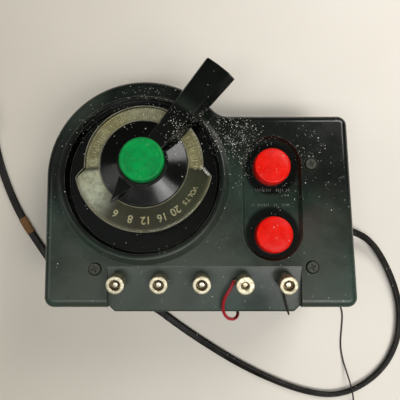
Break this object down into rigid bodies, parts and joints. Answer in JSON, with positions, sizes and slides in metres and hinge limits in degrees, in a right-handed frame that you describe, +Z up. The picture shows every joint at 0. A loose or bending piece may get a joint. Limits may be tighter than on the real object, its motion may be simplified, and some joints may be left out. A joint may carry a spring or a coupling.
{
  "type": "transformer speed controller",
  "caption": "Sloped black moulded transformer with a round lever dial, two red push buttons, a row of binding posts with thumb nuts, and a mains cord.",
  "frame": {"origin": "on the table, centre of the footprint of the case and lever, cords left out", "axes": "+X to the operator's left along the terminal row, +Y toward the operator (the lobe and lever), +Z up"},
  "size_m": [0.3859, 0.2701, 0.0913],
  "materials": {
    "black_phenolic": "glossy moulded, dusty",
    "dial_print": "printed",
    "clear_plastic": "clear, yellowed",
    "lamp_glass": "clear",
    "green_lens": "moulded",
    "red_plastic": "moulded",
    "plated_steel": "dull nickel",
    "bare_steel": "turned",
    "sheet_steel": "lacquered",
    "core_steel": "laminated",
    "copper": "enamelled wire",
    "brass": "plain",
    "carbon": "sintered",
    "fibre_board": "fibre",
    "selenium": "stacked plates",
    "ceramic": "wound",
    "black_rubber": "moulded",
    "brown_tape": "cotton tape",
    "red_insulation": "extruded",
    "black_insulation": "extruded"
  },
  "bodies": {
    "case": {"case_cover": "black_phenolic", "terminal_strip": "black_phenolic", "stud_collars": "black_phenolic", "dial_plate": "dial_print", "dial_ring": "clear_plastic", "cover_screws": "plated_steel", "terminal_studs": "plated_steel", "stud_base_nuts": "plated_steel", "solder_lugs": "plated_steel", "screw_pillars": "bare_steel", "core_bolts": "bare_steel", "core_nuts": "bare_steel", "whistle_spring": "bare_steel", "direction_spring": "bare_steel", "plug_blades": "bare_steel", "base_plate": "sheet_steel", "breaker_bracket": "sheet_steel", "core_laminations": "core_steel", "primary_winding": "copper", "secondary_winding": "copper", "contact_track": "copper", "red_eye": "copper", "black_eye": "copper", "shaft_bushing": "brass", "switch_contacts": "brass", "breaker_bimetal": "brass", "switch_plate": "fibre_board", "rectifier_discs": "selenium", "resistance_coil": "ceramic", "rubber_feet": "black_rubber", "strain_relief": "black_rubber", "power_cord": "black_rubber", "cord_coil": "black_rubber", "plug_body": "black_rubber", "tape_band": "brown_tape", "red_lead": "red_insulation", "black_lead": "black_insulation", "black_coil": "black_insulation"},
    "lever": {"lever_handle": "black_phenolic", "lens_cap": "green_lens", "pilot_lamp": "lamp_glass", "lamp_socket": "brass", "control_shaft": "bare_steel", "contact_arm": "brass", "roller_pin": "bare_steel", "shaft_retainer": "bare_steel"},
    "roller": {"carbon_roller": "carbon"},
    "whistle_key": {"whistle_button": "red_plastic"},
    "direction_key": {"direction_button": "red_plastic"},
    "post_washer_1": {"nut_washer_1": "plated_steel"},
    "post_nut_1": {"thumb_nut_1": "plated_steel"},
    "post_washer_2": {"nut_washer_2": "plated_steel"},
    "post_nut_2": {"thumb_nut_2": "plated_steel"},
    "post_washer_3": {"nut_washer_3": "plated_steel"},
    "post_nut_3": {"thumb_nut_3": "plated_steel"},
    "post_washer_4": {"nut_washer_4": "plated_steel"},
    "post_nut_4": {"thumb_nut_4": "plated_steel"},
    "post_washer_5": {"nut_washer_5": "plated_steel"},
    "post_nut_5": {"thumb_nut_5": "plated_steel"}
  },
  "joints": [
    {"name": "lever_turn", "type": "hinge", "parent": "case", "child": "lever", "pos_m": [-0.0324, 0.01185, 0.06589], "axis": [0, 0.1564, 0.9877], "range_deg": [0, 80]},
    {"name": "roller_spin", "type": "hinge", "parent": "lever", "child": "roller", "pos_m": [-0.04816, 0.00741, 0.05556], "axis": [-0.9848, -0.1715, 0.0272], "range_deg": [-430, 0]},
    {"name": "whistle_press", "type": "slide", "parent": "case", "child": "whistle_key", "axis": [0, -0.1564, -0.9877], "range_m": [0, 0.003], "stiffness_N_per_m": 400, "springref_m": -0.002, "deforming": ["whistle_spring"]},
    {"name": "direction_press", "type": "slide", "parent": "case", "child": "direction_key", "axis": [0, -0.1564, -0.9877], "range_m": [0, 0.003], "stiffness_N_per_m": 400, "springref_m": -0.002, "deforming": ["direction_spring"]},
    {"name": "washer_lift_1", "type": "slide", "parent": "case", "child": "post_washer_1", "axis": [0, -0.0872, 0.9962], "range_m": [0, 0.00318]},
    {"name": "nut_turn_1", "type": "hinge", "parent": "post_washer_1", "child": "post_nut_1", "pos_m": [-0.0482, -0.05557, 0.08244], "axis": [0, -0.0872, 0.9962], "range_deg": [0, 1440]},
    {"name": "washer_lift_2", "type": "slide", "parent": "case", "child": "post_washer_2", "axis": [0, -0.0872, 0.9962], "range_m": [0, 0.00318]},
    {"name": "nut_turn_2", "type": "hinge", "parent": "post_washer_2", "child": "post_nut_2", "pos_m": [-0.0235, -0.05557, 0.08244], "axis": [0, -0.0872, 0.9962], "range_deg": [0, 1440]},
    {"name": "washer_lift_3", "type": "slide", "parent": "case", "child": "post_washer_3", "axis": [0, -0.0872, 0.9962], "range_m": [0, 0.00318]},
    {"name": "nut_turn_3", "type": "hinge", "parent": "post_washer_3", "child": "post_nut_3", "pos_m": [0.0012, -0.05557, 0.08244], "axis": [0, -0.0872, 0.9962], "range_deg": [0, 1440]},
    {"name": "washer_lift_4", "type": "slide", "parent": "case", "child": "post_washer_4", "axis": [0, -0.0872, 0.9962], "range_m": [0, 0.00318]},
    {"name": "nut_turn_4", "type": "hinge", "parent": "post_washer_4", "child": "post_nut_4", "pos_m": [0.0259, -0.05557, 0.08244], "axis": [0, -0.0872, 0.9962], "range_deg": [0, 1440]},
    {"name": "washer_lift_5", "type": "slide", "parent": "case", "child": "post_washer_5", "axis": [0, -0.0872, 0.9962], "range_m": [0, 0.00318]},
    {"name": "nut_turn_5", "type": "hinge", "parent": "post_washer_5", "child": "post_nut_5", "pos_m": [0.0506, -0.05557, 0.08244], "axis": [0, -0.0872, 0.9962], "range_deg": [0, 1440]}
  ],
  "couplings": [
    {"joint": "roller_spin", "follows": "lever_turn", "ratio": -5.3333},
    {"joint": "nut_turn_1", "follows": "washer_lift_1", "rad_per_m": 7900},
    {"joint": "nut_turn_2", "follows": "washer_lift_2", "rad_per_m": 7900},
    {"joint": "nut_turn_3", "follows": "washer_lift_3", "rad_per_m": 7900},
    {"joint": "nut_turn_4", "follows": "washer_lift_4", "rad_per_m": 7900},
    {"joint": "nut_turn_5", "follows": "washer_lift_5", "rad_per_m": 7900}
  ]
}
